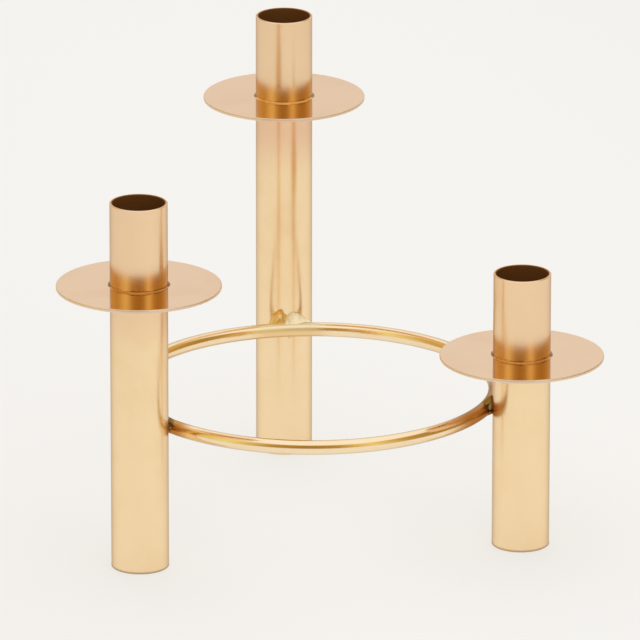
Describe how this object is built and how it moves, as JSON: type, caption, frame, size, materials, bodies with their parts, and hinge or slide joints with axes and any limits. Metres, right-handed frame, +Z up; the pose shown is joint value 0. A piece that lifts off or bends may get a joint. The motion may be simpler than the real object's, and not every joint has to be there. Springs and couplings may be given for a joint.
{
  "type": "candelabra",
  "caption": "Candelabra of upright tubes of stepped heights, brazed round a slim rod ring, each with a flat round drip pan and an open tubular socket for a taper candle.",
  "frame": {"origin": "on the floor, under the axis of the connecting ring", "axes": "+Z up; +Y from the ring's axis to the tallest leg; the middle leg is 122 degrees on from it, anticlockwise seen from above, and the short leg 242.5 degrees"},
  "size_m": [0.2426, 0.2225, 0.2045],
  "materials": {
    "brass_tube": "polished drawn tube, gone slightly satin with age",
    "brass_sheet": "polished sheet with faint turned marks",
    "brass_rod": "polished drawn rod",
    "braze": "braze left as it flowed, darker at its edges"
  },
  "bodies": {
    "root": {"connecting_ring": "brass_rod", "tall_leg_tube": "brass_tube", "tall_pan_braze": "braze", "tall_drip_pan": "brass_sheet", "tall_socket_braze": "braze", "tall_candle_socket": "brass_tube", "tall_ring_braze": "braze", "middle_leg_tube": "brass_tube", "middle_pan_braze": "braze", "middle_drip_pan": "brass_sheet", "middle_socket_braze": "braze", "middle_candle_socket": "brass_tube", "middle_ring_braze": "braze", "short_leg_tube": "brass_tube", "short_pan_braze": "braze", "short_drip_pan": "brass_sheet", "short_socket_braze": "braze", "short_candle_socket": "brass_tube", "short_ring_braze": "braze"}
  },
  "joints": []
}
